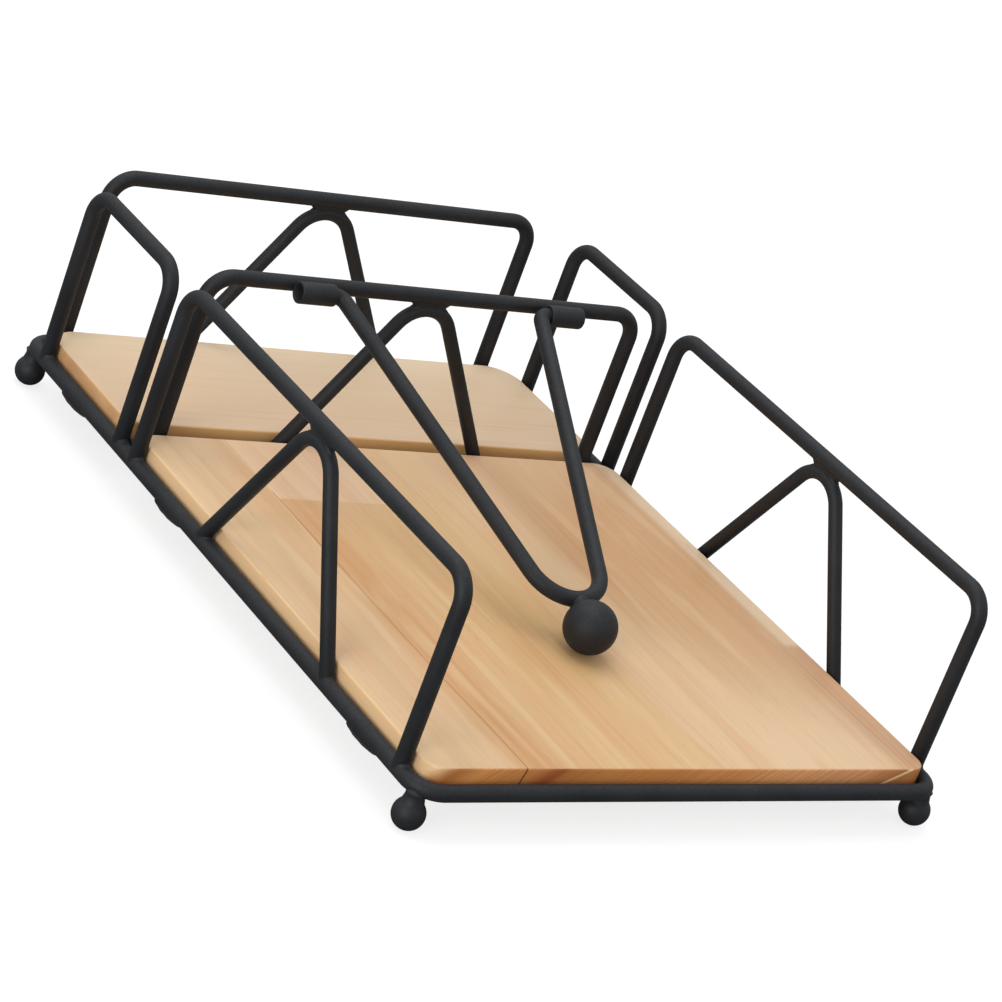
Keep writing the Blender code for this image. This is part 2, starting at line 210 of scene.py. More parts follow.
def lathe(bm, profile, base, axis, sides=TURN_SIDES):
    """A turned body: (radius, height) points about an axis through base."""
    u = axis.orthogonal().normalized()
    v = axis.cross(u)
    rings = []
    for radius, height in profile:
        centre = base + axis * height
        rings.append([centre] if radius < 1e-7 else circle(centre, u, v, radius, sides=sides))
    loft(bm, rings, closed=profile[0][0] > 1e-7)


def arc_profile(radius, centre_height, start_deg, end_deg, steps=24):
    """(radius, height) points along a ball's outline; 90 degrees is its top."""
    span = [math.radians(start_deg + (end_deg - start_deg) * i / steps) for i in range(steps + 1)]
    return [(radius * max(math.cos(a), 0.0), centre_height + radius * math.sin(a)) for a in span]


def bezier(a, b, c, steps):
    """Points from a to c, pulled towards b, without the ends."""
    points = []
    for i in range(1, steps):
        t = i / steps
        points.append(a * (1 - t) ** 2 + b * (2 * t * (1 - t)) + c * t**2)
    return points


def leg_weld(bm, foot, leg, rod, rod_radius, leg_radius):
    """The concave bead where a wire with direction leg stands on a rod, around the point foot."""
    across = UP.cross(rod)
    lean = across.cross(leg)
    columns = []
    for i in range(WIRE_SIDES):
        angle = 2 * math.pi * i / WIRE_SIDES
        offset = (lean * math.cos(angle) + across * math.sin(angle)) * leg_radius
        aside = offset.dot(across)
        height = math.sqrt(max(rod_radius**2 - aside**2, 0.0))
        meet = foot + offset + leg * ((height - offset.dot(UP)) / leg.dot(UP))
        wobble = 1 + 0.12 * math.sin(3 * angle + 40 * foot.x) + 0.08 * math.sin(5 * angle + 90 * foot.y)
        top = meet + leg * (WELD_CLIMB * wobble) - offset * 0.02
        turn = math.atan2(aside, height) + WELD_FLARE * wobble * math.sin(angle) / rod_radius
        skin = across * math.sin(turn) + UP * math.cos(turn)
        along = (meet - foot).dot(rod) + WELD_FLARE * wobble * math.cos(angle)
        low = foot + rod * along + skin * (rod_radius * 0.985)
        columns.append([top, *bezier(top, meet, low, 5), low])
    pole = foot + leg * (rod_radius + WELD_CLIMB)
    loft(bm, [[pole], *[list(row) for row in zip(*columns)], [foot]])


def seam_weld(bm, start, end, side, half_height, half_width, bluntness=4):
    """A bead of elliptic section between two wires that touch along a line."""
    steps = 14
    along = (end - start).normalized()
    up = side.cross(along)
    rings = []
    for i in range(steps + 1):
        share = i / steps
        swell = max(1 - (2 * share - 1) ** bluntness, 0.02) ** 0.5
        ripple = 1 + 0.05 * math.sin(23 * share)
        centre = start.lerp(end, share)
        rings.append(circle(centre, side, up, half_width * swell * ripple, half_height * swell, sides=20))
    loft(bm, rings)


def piece(name, bm, node, body, material, flat_above=50):
    """Finish a mesh as the piece that stands for a CAD node."""
    bmesh.ops.recalc_face_normals(bm, faces=bm.faces)
    mesh = bpy.data.meshes.new(name)
    bm.to_mesh(mesh)
    bm.free()
    mesh.shade_smooth()
    mesh.set_sharp_from_angle(angle=math.radians(flat_above))
    mesh.materials.append(material)
    obj = bpy.data.objects.new(name, mesh)
    bpy.context.scene.collection.objects.link(obj)
    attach(obj, body)
    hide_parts(node)
    return obj


# ---- node materials ------------------------------------------------------------------


class Graph:
    """A short way to write shader nodes: values, colours and sockets are all accepted as inputs."""

    def __init__(self, name):
        self.material = bpy.data.materials.new(name)
        self.material.use_nodes = True
        self.tree = self.material.node_tree
        self.shader = self.tree.nodes["Principled BSDF"]

    def put(self, socket, value):
        if isinstance(value, bpy.types.NodeSocket):
            self.tree.links.new(value, socket)
        elif value is not None:
            socket.default_value = value

    def node(self, kind, inputs=(), output=0, **settings):
        made = self.tree.nodes.new(kind)
        for key, value in settings.items():
            setattr(made, key, value)
        for key, value in dict(inputs).items():
            self.put(made.inputs[key], value)
        return made.outputs[output]

    def math(self, operation, a, b=None, c=None, clamp=False):
        inputs = {i: value for i, value in enumerate((a, b, c)) if value is not None}
        return self.node("ShaderNodeMath", inputs, operation=operation, use_clamp=clamp)

    def noise(self, vector, scale, detail=3.0, roughness=0.5, distortion=0.0):
        inputs = {
            "Vector": vector, "Scale": scale, "Detail": detail, "Roughness": roughness, "Distortion": distortion
        }
        return self.node("ShaderNodeTexNoise", inputs)

    def stretch(self, vector, scale, offset=(0, 0, 0)):
        return self.node("ShaderNodeMapping", {"Vector": vector, "Scale": scale, "Location": offset})

    def span(self, value, low, high, to_low=0.0, to_high=1.0, smooth=True):
        """Map low..high onto to_low..to_high, clamped."""
        kind = "SMOOTHSTEP" if smooth else "LINEAR"
        inputs = {"Value": value, "From Min": low, "From Max": high, "To Min": to_low, "To Max": to_high}
        return self.node("ShaderNodeMapRange", inputs, interpolation_type=kind)

    def mix(self, share, a, b, blend="MIX"):
        made = self.tree.nodes.new("ShaderNodeMix")
        made.data_type = "RGBA"
        made.blend_type = blend
        self.put(made.inputs[0], share)
        self.put(made.inputs[6], rgba(a))
        self.put(made.inputs[7], rgba(b))
        return made.outputs[2]

    def bands(self, value, stops, hard=False):
        """A colour ramp through (position, colour) stops."""
        made = self.tree.nodes.new("ShaderNodeValToRGB")
        made.color_ramp.interpolation = "CONSTANT" if hard else "EASE"
        elements = made.color_ramp.elements
        while len(elements) < len(stops):
            elements.new(1.0)
        for element, (position, colour) in zip(elements, stops):
            element.position = position
            element.color = rgba(colour)
        self.put(made.inputs[0], value)
        return made.outputs[0]

    def bump(self, height, distance, strength=1.0, normal=None):
        inputs = {"Height": height, "Distance": distance, "Strength": strength}
        if normal is not None:
            inputs["Normal"] = normal
        return self.node("ShaderNodeBump", inputs)

    def surface(self, **inputs):
        for key, value in inputs.items():
            self.put(self.shader.inputs[key.replace("_", " ")], value)
        return self.material


def rgba(colour):
    if isinstance(colour, (tuple, list)) and len(colour) == 3:
        return (*colour, 1.0)
    return colour


def srgb(red, green, blue):
    """A linear colour from the usual 0..255 values."""
    values = [v / 255 for v in (red, green, blue)]
    return tuple(v / 12.92 if v <= 0.04045 else ((v + 0.055) / 1.055) ** 2.4 for v in values)


def powder_coat():
    """Matt black powder coat: a fine orange peel, faint cloudiness and painted light on the tops, speckled by the pits.
    """
    g = Graph("powder_coat")
    place = g.node("ShaderNodeTexCoord", output=3)
    normal = g.node("ShaderNodeNewGeometry", output=1)
    upward = g.node("ShaderNodeSeparateXYZ", {"Vector": normal}, output=2)
    peel = g.noise(place, 2600.0, 2.0)
    pits = g.noise(place, 900.0, 3.0, 0.6)
    cloud = g.noise(place, 60.0, 4.0, 0.55)
    tone = g.mix(g.span(cloud, 0.3, 0.7), srgb(24, 25, 28), srgb(32, 34, 38))
    # Painted top light: surfaces facing up turn lighter, broken up by the pits
    painted_top_light = g.math("MULTIPLY", g.span(upward, 0.1, 1.0), g.span(pits, 0.35, 0.7, 0.35, 1.0))
    tone = g.mix(g.math("MULTIPLY", painted_top_light, 0.45), tone, srgb(52, 55, 60))
    rough = g.span(peel, 0.3, 0.7, 0.52, 0.66)
    normal = g.bump(peel, 0.05 * MM, 0.35, g.bump(pits, 0.12 * MM, 0.25))
    return g.surface(Base_Color=tone, Roughness=rough, Normal=normal, Specular_IOR_Level=0.32)


def wood_grain(g, place, along):
    """Shared fine structure: streaks, pores and slow colour drift, stretched along the grain.

    along is the index of the grain's axis. Returns (streak, pores, drift), each about 0..1.
    """
    def scaled(cross, length):
        scale = [cross, cross, cross]
        scale[along] = length
        return g.stretch(place, tuple(scale))

    streak = g.noise(scaled(420.0, 9.0), 1.0, 5.0, 0.6, 0.3)
    fine = g.noise(scaled(1500.0, 40.0), 1.0, 3.0, 0.6)
    pores = g.noise(scaled(1900.0, 130.0), 1.0, 2.0, 0.5)
    drift = g.noise(scaled(55.0, 7.0), 1.0, 3.0, 0.55, 0.6)
    return g.math("ADD", g.math("MULTIPLY", streak, 0.65), g.math("MULTIPLY", fine, 0.35)), pores, drift


# The front board's staves, left to right: right edge and colour on top
FRONT_STAVES = (
    (-84.0, srgb(227, 195, 160)),
    (-76.5, srgb(222, 190, 155)),
    (-69.0, srgb(212, 180, 145)),
    (-58.6, srgb(215, 182, 147)),
    (-46.0, srgb(206, 164, 121)),
    (-30.0, srgb(212, 174, 130)),
    (-15.6, srgb(215, 178, 131)),
    (1.0, srgb(216, 179, 131)),
    (13.0, srgb(218, 182, 138)),
    (32.0, srgb(220, 184, 147)),
    (58.0, srgb(220, 185, 150)),
    (80.6, srgb(212, 174, 137)),
    (92.0, srgb(210, 170, 136)),
)


def board_coordinates(g):
    place = g.node("ShaderNodeTexCoord", output=3)
    parts = g.tree.nodes.new("ShaderNodeSeparateXYZ")
    g.put(parts.inputs[0], place)
    in_mm = [g.math("MULTIPLY", parts.outputs[i], 1000.0) for i in range(3)]
    normal = g.node("ShaderNodeNewGeometry", output=1)
    facing = g.tree.nodes.new("ShaderNodeSeparateXYZ")
    g.put(facing.inputs[0], normal)
    return place, in_mm, facing.outputs


def front_board_wood():
    """Edge-glued staves whose grain runs from front to rear, with end grain on the front edge."""
    g = Graph("front_board_wood")
    place, (x, y, z), facing = board_coordinates(g)
    streak, pores, drift = wood_grain(g, place, along=1)

    # Stave colours, with soft-edged bands of earlywood inside each stave
    wander = g.math("MULTIPLY", g.math("SUBTRACT", drift, 0.5), 9.0)
    soft_x = g.math("ADD", x, wander)
    half = 92.0
    stops = [(0.0, FRONT_STAVES[0][1])]
    for (edge, _), (_, colour) in zip(FRONT_STAVES, FRONT_STAVES[1:]):
        stops.append(((edge + half) / (2 * half), colour))
    tone = g.bands(g.span(soft_x, -half, half, smooth=False), stops)

    # The second stave starts at a finger joint: rosier wood behind it
    behind = g.math("GREATER_THAN", y, 21.0)
    in_stave = g.math("MULTIPLY", g.span(x, -58.8, -58.4), g.span(x, -14.0, -22.0))
    tone = g.mix(g.math("MULTIPLY", behind, in_stave), tone, srgb(226, 194, 163))

    # The right-hand rear stretch is redder, and the front of the middle staves paler
    redder = g.math("MULTIPLY", g.span(x, 26.0, 40.0), g.span(y, -85.0, -15.0))
    redder = g.math("MULTIPLY", redder, g.span(y, 60.0, 15.0, 0.35, 1.0))
    tone = g.mix(g.math("MULTIPLY", redder, 0.9), tone, srgb(206, 160, 116))
    paler = g.math("MULTIPLY", g.span(x, 5.0, 40.0), g.span(y, -60.0, -115.0))
    paler = g.math("MULTIPLY", paler, g.span(x, 80.0, 74.0))
    tone = g.mix(g.math("MULTIPLY", paler, 0.8), tone, srgb(229, 200, 170))
    # Painted shadow of the ball: a darker, golden patch on the board around where it rests
    painted_ball_shadow = g.math("MULTIPLY", g.span(x, -36.0, -14.0), g.span(x, 12.0, -2.0))
    painted_ball_shadow = g.math("MULTIPLY", painted_ball_shadow, g.math("MULTIPLY", g.span(y, -95.0, -62.0), g.span(y, 0.0, -45.0)))
    tone = g.mix(g.math("MULTIPLY", painted_ball_shadow, 0.8), tone, srgb(203, 164, 110))

    # Darker heartwood bands beside the main glue line and in the right half
    heart = g.math("MULTIPLY", g.span(soft_x, -60.5, -55.0), g.span(soft_x, -42.0, -50.0))
    heart = g.math("MULTIPLY", heart, g.span(y, 23.0, 19.0))
    tone = g.mix(g.math("MULTIPLY", heart, 0.75), tone, srgb(202, 152, 104))
    band = g.math("MULTIPLY", g.span(soft_x, 27.0, 33.0), g.span(soft_x, 44.0, 38.0))
    band = g.math("MULTIPLY", band, g.span(y, -70.0, -10.0))
    tone = g.mix(g.math("MULTIPLY", band, 0.55), tone, srgb(192, 148, 106))

    # A sapwood strip along the right edge, turning to rosy wood towards the front
    strip = g.span(x, 80.2, 80.8)
    front_part = g.span(y, -55.0, -57.5)
    tone = g.mix(g.math("MULTIPLY", strip, front_part), tone, srgb(208, 163, 128))
    pale_part = g.math("MULTIPLY", g.span(x, 81.0, 84.5), g.span(y, -57.5, -54.0))
    tone = g.mix(g.math("MULTIPLY", pale_part, 0.85), tone, srgb(232, 210, 185))

    # Broad soft flames, rosy and pale by turns, then fine streaks and pores
    flame = g.noise(g.stretch(place, (130.0, 11.0, 130.0)), 1.0, 2.0, 0.5, 0.8)
    tone = g.mix(g.span(flame, 0.50, 0.64, 0.0, 0.34), tone, srgb(214, 164, 126))
    tone = g.mix(g.span(flame, 0.48, 0.34, 0.0, 0.34), tone, srgb(230, 202, 166))
    tone = g.mix(g.span(streak, 0.34, 0.66, 0.0, 0.18), tone, srgb(232, 200, 162))
    tone = g.mix(g.span(streak, 0.52, 0.30, 0.0, 0.17), tone, srgb(176, 128, 84))
    flecked = g.math("MULTIPLY", g.span(pores, 0.66, 0.76), g.span(drift, 0.42, 0.62, 0.1, 0.55))
    tone = g.mix(flecked, tone, srgb(160, 108, 68))

    # Glue lines: one plain to see, others faint, all drifting right at the front
    line_x = g.math("SUBTRACT", x, g.span(y, -50.0, -124.0, 0.0, 1.4))
    for place_x, strength in ((-58.6, 0.75), (-15.6, 0.22), (13.0, 0.14), (58.0, 0.12), (80.5, 0.3)):
        away = g.math("ABSOLUTE", g.math("SUBTRACT", line_x, place_x))
        line = g.math("MULTIPLY", g.span(away, 0.28, 0.05), strength)
        line = g.math("MULTIPLY", line, g.span(streak, 0.25, 0.6, 0.55, 1.0))
        if place_x == -58.6:
            line = g.math("MULTIPLY", line, g.span(y, 27.0, 24.0))
        if place_x == 80.5:
            line = g.math("MULTIPLY", line, front_part)
        tone = g.mix(line, tone, srgb(140, 84, 48))

    # Painted side shade: the long side faces turn a little deeper and more yellow than the top
    side = g.span(g.math("ABSOLUTE", facing[0]), 0.4, 0.8, 0.0, 0.4)
    tone = g.mix(side, tone, srgb(220, 178, 126))

    tone = g.mix(1.0, tone, (1.0, 0.975, 0.91), "MULTIPLY")
    # Painted light: the board turns lighter towards the rear
    tone = g.mix(g.span(y, -10.0, 55.0, 0.0, 0.2), tone, srgb(255, 214, 172))
    tone = end_grain(g, tone, x, z, place, facing, drift)
    rough = g.span(streak, 0.3, 0.7, 0.42, 0.56)
    height = g.math("ADD", g.math("MULTIPLY", streak, 0.6), g.math("MULTIPLY", pores, -0.5))
    normal = g.bump(height, 0.12 * MM, 0.35)
    return g.surface(Base_Color=tone, Roughness=rough, Normal=normal, Specular_IOR_Level=0.22)


# End grain along the front edge, left to right: right edge and colour of each stretch of rings
END_STAVES = (
    (-81.5, srgb(252, 222, 170)),
    (-73.5, srgb(186, 117, 62)),
    (-63.0, srgb(220, 150, 84)),
    (-55.6, srgb(208, 138, 76)),
    (-47.5, srgb(196, 129, 73)),
    (-43.0, srgb(158, 84, 42)),
    (-28.0, srgb(188, 122, 64)),
    (-10.0, srgb(202, 134, 72)),
    (12.0, srgb(206, 136, 74)),
    (38.0, srgb(220, 148, 86)),
    (62.0, srgb(236, 170, 112)),
    (77.5, srgb(226, 162, 112)),
    (92.0, srgb(188, 124, 70)),
)


def end_grain(g, tone, x, z, place, facing, drift):
    """End grain on the faces that cross the grain: slanting rings, fine pores and one crack."""
    slant = g.math("ADD", x, g.math("MULTIPLY", g.math("SUBTRACT", 17.0, z), 1.3))
    slant = g.math("ADD", slant, g.math("MULTIPLY", g.math("SUBTRACT", drift, 0.5), 4.0))
    stops = [(0.0, END_STAVES[0][1])]
    for (edge, _), (_, colour) in zip(END_STAVES, END_STAVES[1:]):
        stops.append(((edge + 92.0) / 184.0 + 0.002, colour))
    ends = g.bands(g.span(slant, -92.0, 92.0, smooth=False), stops)
    rings = g.node(
        "ShaderNodeTexNoise",
        {"W": g.math("MULTIPLY", slant, 0.55), "Scale": 1.0, "Detail": 4.0, "Roughness": 0.65},
        noise_dimensions="1D",
    )
    ends = g.mix(g.span(rings, 0.40, 0.66, 0.0, 0.35), ends, srgb(168, 108, 62))
    speck = g.noise(place, 2400.0, 2.0)
    ends = g.mix(g.span(speck, 0.55, 0.75, 0.0, 0.2), ends, srgb(150, 96, 54))
    tilted = g.math("ADD", x, g.math("MULTIPLY", z, -0.25))
    crack = g.math("ABSOLUTE", g.math("SUBTRACT", tilted, -61.9))
    ends = g.mix(g.math("MULTIPLY", g.span(crack, 0.5, 0.12), 0.85), ends, srgb(92, 46, 24))
    leaning = g.math("ADD", x, g.math("MULTIPLY", g.math("SUBTRACT", 18.9, z), 2.0))
    stripe = g.span(g.math("ABSOLUTE", g.math("SUBTRACT", leaning, 82.6)), 1.3, 0.5)
    ends = g.mix(g.math("MULTIPLY", stripe, 0.9), ends, srgb(244, 210, 164))
    across = g.math("ABSOLUTE", facing[1])
    return g.mix(g.span(across, 0.45, 0.8), tone, ends)


def back_board_wood():
    """Paler, calmer wood, its grain running from side to side, with a darker front edge."""
    g = Graph("back_board_wood")
    place, (x, y, z), facing = board_coordinates(g)
    streak, pores, drift = wood_grain(g, place, along=0)
    depth = g.math("ADD", y, g.math("MULTIPLY", g.math("SUBTRACT", drift, 0.5), 14.0))
    stops = [
        (0.0, srgb(218, 189, 158)),
        (0.35, srgb(219, 188, 155)),
        (0.62, srgb(225, 196, 163)),
        (1.0, srgb(234, 208, 174)),
    ]
    tone = g.bands(g.span(depth, 62.0, 124.0, smooth=False), stops)
    tone = g.mix(g.span(streak, 0.34, 0.66, 0.0, 0.22), tone, srgb(230, 206, 176))
    tone = g.mix(g.span(streak, 0.50, 0.30, 0.0, 0.22), tone, srgb(184, 146, 108))
    tone = g.mix(g.span(pores, 0.70, 0.80, 0.0, 0.25), tone, srgb(170, 128, 90))
    edge = g.mix(g.span(drift, 0.35, 0.65), srgb(214, 165, 106), srgb(234, 186, 126))
    end = g.mix(g.span(drift, 0.35, 0.65), srgb(194, 148, 104), srgb(210, 166, 118))
    tone = g.mix(g.span(g.math("ABSOLUTE", facing[1]), 0.45, 0.8), tone, edge)
    tone = g.mix(g.span(g.math("ABSOLUTE", facing[0]), 0.45, 0.8), tone, end)
    rough = g.span(streak, 0.3, 0.7, 0.44, 0.58)
    height = g.math("ADD", g.math("MULTIPLY", streak, 0.6), g.math("MULTIPLY", pores, -0.5))
    normal = g.bump(height, 0.12 * MM, 0.3)
    return g.surface(Base_Color=tone, Roughness=rough, Normal=normal, Specular_IOR_Level=0.22)


def zinc_steel():
    """Zinc-plated screws: bright grey with a crystalline bloom."""
    g = Graph("zinc_steel")
    place = g.node("ShaderNodeTexCoord", output=3)
    bloom = g.noise(place, 1400.0, 3.0, 0.6)
    tone = g.mix(g.span(bloom, 0.35, 0.65), (0.36, 0.36, 0.35), (0.55, 0.54, 0.51))
    rough = g.span(bloom, 0.3, 0.7, 0.28, 0.45)
    normal = g.bump(bloom, 0.05 * MM, 0.3)
    return g.surface(Base_Color=tone, Roughness=rough, Normal=normal, Metallic=1.0)


# ---- pieces --------------------------------------------------------------------------


def build_ring(coat):
    corners = [
        Vector((RING_HALF_WIDTH * x, RING_HALF_DEPTH * y, RING_Z))
        for x, y in ((1, -1), (1, 1), (-1, 1), (-1, -1))
    ]
    bm = bmesh.new()
    sweep(bm, bent_path(corners, [RING_CORNER_RADIUS] * 4, closed=True), UP, ROD_RADIUS, closed=True)
    piece("base_ring_skin", bm, "base_ring", "frame", coat)

    bm = bmesh.new()
    ends = [Vector((x, DIVIDER_Y, RING_Z)) for x in (-RING_HALF_WIDTH, RING_HALF_WIDTH)]
    sweep(bm, ends, UP, ROD_RADIUS, end_round=0.0)
    for end in ends:
        inward = -end.x / abs(end.x)
        start = end + ACROSS * inward * (ROD_RADIUS - 0.4 * MM)
        rings = []
        for i in range(7):
            share = i / 6
            radius = ROD_RADIUS + 0.9 * MM * (1 - share) ** 2
            rings.append(circle(start + ACROSS * (inward * 1.6 * MM * share), LENGTHWISE, UP, radius * 0.99))
        loft(bm, rings)
    piece("mid_cross_rod_skin", bm, "mid_cross_rod", "frame", coat)


def build_hoops(coat):
    hoops = {
        "left_front_hoop": LENGTHWISE,
        "right_front_hoop": LENGTHWISE,
        "left_rear_hoop": LENGTHWISE,
        "right_rear_hoop": LENGTHWISE,
        "back_hoop": ACROSS,
        "divider_hoop": ACROSS,
    }
    rise = UP * (RAIL_Z - RING_Z)
    for node, rod in hoops.items():
        centre = box_centre(node)
        reach = half_size(node).dot(rod) - HOOP_RADIUS
        feet = [Vector((centre.x, centre.y, RING_Z)) + rod * (reach * sign) for sign in (-1, 1)]
        path = bent_path([feet[0], feet[0] + rise, feet[1] + rise, feet[1]], [HOOP_BEND_RADIUS] * 2)
        bm = bmesh.new()
        sweep(bm, path, rod.cross(UP), HOOP_RADIUS)
        for foot in feet:
            leg_weld(bm, foot, UP, rod, ROD_RADIUS, HOOP_RADIUS)
        piece(node + "_skin", bm, node, "frame", coat)


def build_braces(coat):
    sharp_rise = BRACE_TOP_Z - BRACE_APEX_RADIUS + BRACE_APEX_RADIUS / math.sin(BRACE_HALF_ANGLE) - RING_Z
    spread = sharp_rise * math.tan(BRACE_HALF_ANGLE)
    braces = {
        "left_brace": LENGTHWISE,
        "right_brace": LENGTHWISE,
        "back_brace": ACROSS,
        "divider_brace": ACROSS,
    }
    for node, rod in braces.items():
        middle = box_centre(node)
        middle.z = RING_Z
        apex = middle + UP * sharp_rise
        feet = [middle - rod * spread, middle + rod * spread]
        bm = bmesh.new()
        sweep(bm, bent_path([feet[0], apex, feet[1]], [BRACE_APEX_RADIUS]), rod.cross(UP), BRACE_RADIUS)
        for foot in feet:
            leg_weld(bm, foot, (apex - foot).normalized(), rod, ROD_RADIUS, BRACE_RADIUS)
        apex_weld(bm, middle, rod)
        piece(node + "_skin", bm, node, "frame", coat)


def apex_weld(bm, middle, rod):
    """The web of weld between a brace's round apex and the rail above it, hollow at both ends."""
    side = UP.cross(rod)
    outer = BRACE_APEX_RADIUS + BRACE_RADIUS
    rail_bottom = RAIL_Z - HOOP_RADIUS
    rings = []
    for step in range(-4, 5):
        share = step / 4
        reach = WEB_REACH * (1 - 0.4 * share**2)
        spots = [reach * (1 - i / 4) for i in range(9)]
        crest = [BRACE_TOP_Z - BRACE_APEX_RADIUS + math.sqrt(outer**2 - spot**2) for spot in spots]
        waist = reach - 0.6 * (rail_bottom - crest[0])
        outline = [(spot, rail_bottom + 0.6 * HOOP_RADIUS) for spot in spots]
        outline += [(-reach, rail_bottom), (-waist, (rail_bottom + crest[-1]) / 2), (-reach, crest[-1])]
        outline += [(-spot, height - 0.6 * BRACE_RADIUS) for spot, height in zip(spots, crest)]
        outline += [(reach, crest[0]), (waist, (rail_bottom + crest[0]) / 2), (reach, rail_bottom)]
        centre = Vector((middle.x, middle.y, 0)) + side * (WEB_HALF_THICKNESS * share)
        rings.append([centre + rod * along + UP * height for along, height in outline])
    loft(bm, rings)


def build_feet(coat):
    for node in ("front_left_foot", "front_right_foot", "rear_left_foot", "rear_right_foot"):
        radius = half_size(node).x
        centre = box_centre(node)
        ball_z = radius - 0.2 * MM
        flat = math.degrees(math.asin(-ball_z / radius))
        neck_top = RING_Z - 0.4 * MM
        neck_z = ball_z + math.sqrt(radius**2 - (FOOT_NECK_RADIUS + 1.1 * MM) ** 2)
        shoulder = math.degrees(math.asin((neck_z - ball_z) / radius))
        rod_bottom = RING_Z - ROD_RADIUS
        profile = [
            (0, neck_top),
            (FOOT_NECK_RADIUS, neck_top),
            (FOOT_NECK_RADIUS + 0.9 * MM, rod_bottom + 0.9 * MM),
            (FOOT_NECK_RADIUS + 0.6 * MM, rod_bottom + 0.1 * MM),
            (FOOT_NECK_RADIUS + 0.65 * MM, rod_bottom - 0.6 * MM),
        ]
        profile += arc_profile(radius, ball_z, shoulder, flat) + [(0, 0)]
        bm = bmesh.new()
        lathe(bm, profile, Vector((centre.x, centre.y, 0)), UP)
        piece(node + "_skin", bm, node, "frame", coat)


def build_hinge_tubes(coat):
    lip = 0.35 * MM
    for node in ("left_hinge_tube", "right_hinge_tube"):
        half = half_size(node).x
        centre = Vector((box_centre(node).x, HINGE.y, HINGE.z))
        profile = []
        for radius, height in (
            (TUBE_RADIUS - lip, half), (TUBE_RADIUS - 0.3 * lip, half - 0.3 * lip), (TUBE_RADIUS, half - lip),
            (TUBE_RADIUS, lip - half), (TUBE_RADIUS - 0.3 * lip, 0.3 * lip - half), (TUBE_RADIUS - lip, -half),
            (TUBE_BORE_RADIUS + 0.5 * lip, -half), (TUBE_BORE_RADIUS, 0.5 * lip - half),
            (TUBE_BORE_RADIUS, half - 0.5 * lip), (TUBE_BORE_RADIUS + 0.5 * lip, half),
        ):
            profile.append((radius, height))
        bm = bmesh.new()
        lathe(bm, profile, centre, ACROSS)
        contact = Vector((centre.x, (HINGE.y + TUBE_RADIUS + DIVIDER_Y - HOOP_RADIUS) / 2, HINGE.z + 0.1 * MM))
        run = ACROSS * (half - 0.8 * MM)
        seam_weld(bm, contact - run, contact + run, LENGTHWISE, 2.1 * MM, 1.1 * MM)
        piece(node + "_skin", bm, node, "frame", coat)


def arm_placed(point):
    """From the arm's own flat layout, hinge axis on X and tip towards -Y, to its place at rest."""
    return HINGE + Matrix.Rotation(ARM_DROP, 3, "X") @ point


def build_arm(coat):
    pin_end = half_size("pivot_arm").x
    corners = [
        Vector((-pin_end + 0.3 * MM, 0, 0)),
        Vector((-ARM_HALF_WIDTH, 0, 0)),
        Vector((0, -ARM_HALF_WIDTH / math.tan(ARM_TAPER), 0)),
        Vector((ARM_HALF_WIDTH, 0, 0)),
        Vector((pin_end - 0.3 * MM, 0, 0)),
    ]
    flat_path = bent_path(corners, [ARM_SHOULDER_RADIUS, ARM_TIP_RADIUS, ARM_SHOULDER_RADIUS])
    path = [arm_placed(point) for point in flat_path]
    normal = Matrix.Rotation(ARM_DROP, 3, "X") @ UP
    bm = bmesh.new()
    sweep(bm, path, normal, ROD_RADIUS)
    piece("pivot_arm_skin", bm, "pivot_arm", "arm", coat)

    tip_reach = ARM_HALF_WIDTH / math.tan(ARM_TAPER) - ARM_TIP_RADIUS / math.sin(ARM_TAPER) + ARM_TIP_RADIUS
    centre = arm_placed(Vector((0, -BALL_REACH, 0)))
    towards_hinge = (HINGE - centre).normalized()
    neck_top = BALL_REACH - tip_reach
    wire_side = neck_top - ROD_RADIUS
    profile = [
        (0, neck_top),
        (BALL_NECK_RADIUS, neck_top),
        (BALL_NECK_RADIUS + 0.75 * MM, wire_side + 0.7 * MM),
        (BALL_NECK_RADIUS + 0.45 * MM, wire_side + 0.15 * MM),
        (BALL_NECK_RADIUS + 0.6 * MM, wire_side - 0.35 * MM),
    ]
    shoulder = math.degrees(math.acos((BALL_NECK_RADIUS + 0.9 * MM) / BALL_RADIUS))
    profile += arc_profile(BALL_RADIUS, 0, shoulder, -90, steps=40)
    bm = bmesh.new()
    lathe(bm, profile, centre, towards_hinge)
    piece("weight_ball_skin", bm, "weight_ball", "arm", coat, flat_above=80)


def build_board(node, front_radius, rear_radius, material):
    low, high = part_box(node)
    corners = [
        Vector((high.x, low.y, low.z)),
        Vector((high.x, high.y, low.z)),
        Vector((low.x, high.y, low.z)),
        Vector((low.x, low.y, low.z)),
    ]
    outline = bent_path(corners, [front_radius, rear_radius, rear_radius, front_radius], closed=True)
    middle = sum(outline, Vector()) / len(outline)
    thickness = high.z - low.z
    edge = 0.7 * MM
    rings = []
    for height, inset in edge_profile(thickness, edge):
        rings.append([inset_point(outline, i, inset) + UP * height for i in range(len(outline))])
    bm = bmesh.new()
    loft(bm, [[middle], *rings, [middle + UP * thickness]])
    piece(node + "_skin", bm, node, "frame", material, flat_above=60)


def edge_profile(thickness, edge):
    """(height, inset) up a board's side, with both edges eased to a small round."""
    steps = 4
    angles = [math.pi / 2 * i / steps for i in range(steps + 1)]
    lower = [(edge * (1 - math.sin(a)), edge * (1 - math.cos(a))) for a in reversed(angles)]
    upper = [(thickness - edge * (1 - math.sin(a)), edge * (1 - math.cos(a))) for a in angles]
    return lower + upper


def inset_point(outline, i, inset):
    """A point of an anticlockwise outline, moved inwards square to the outline."""
    along = (outline[(i + 1) % len(outline)] - outline[i - 1]).normalized()
    return outline[i] + UP.cross(along) * inset


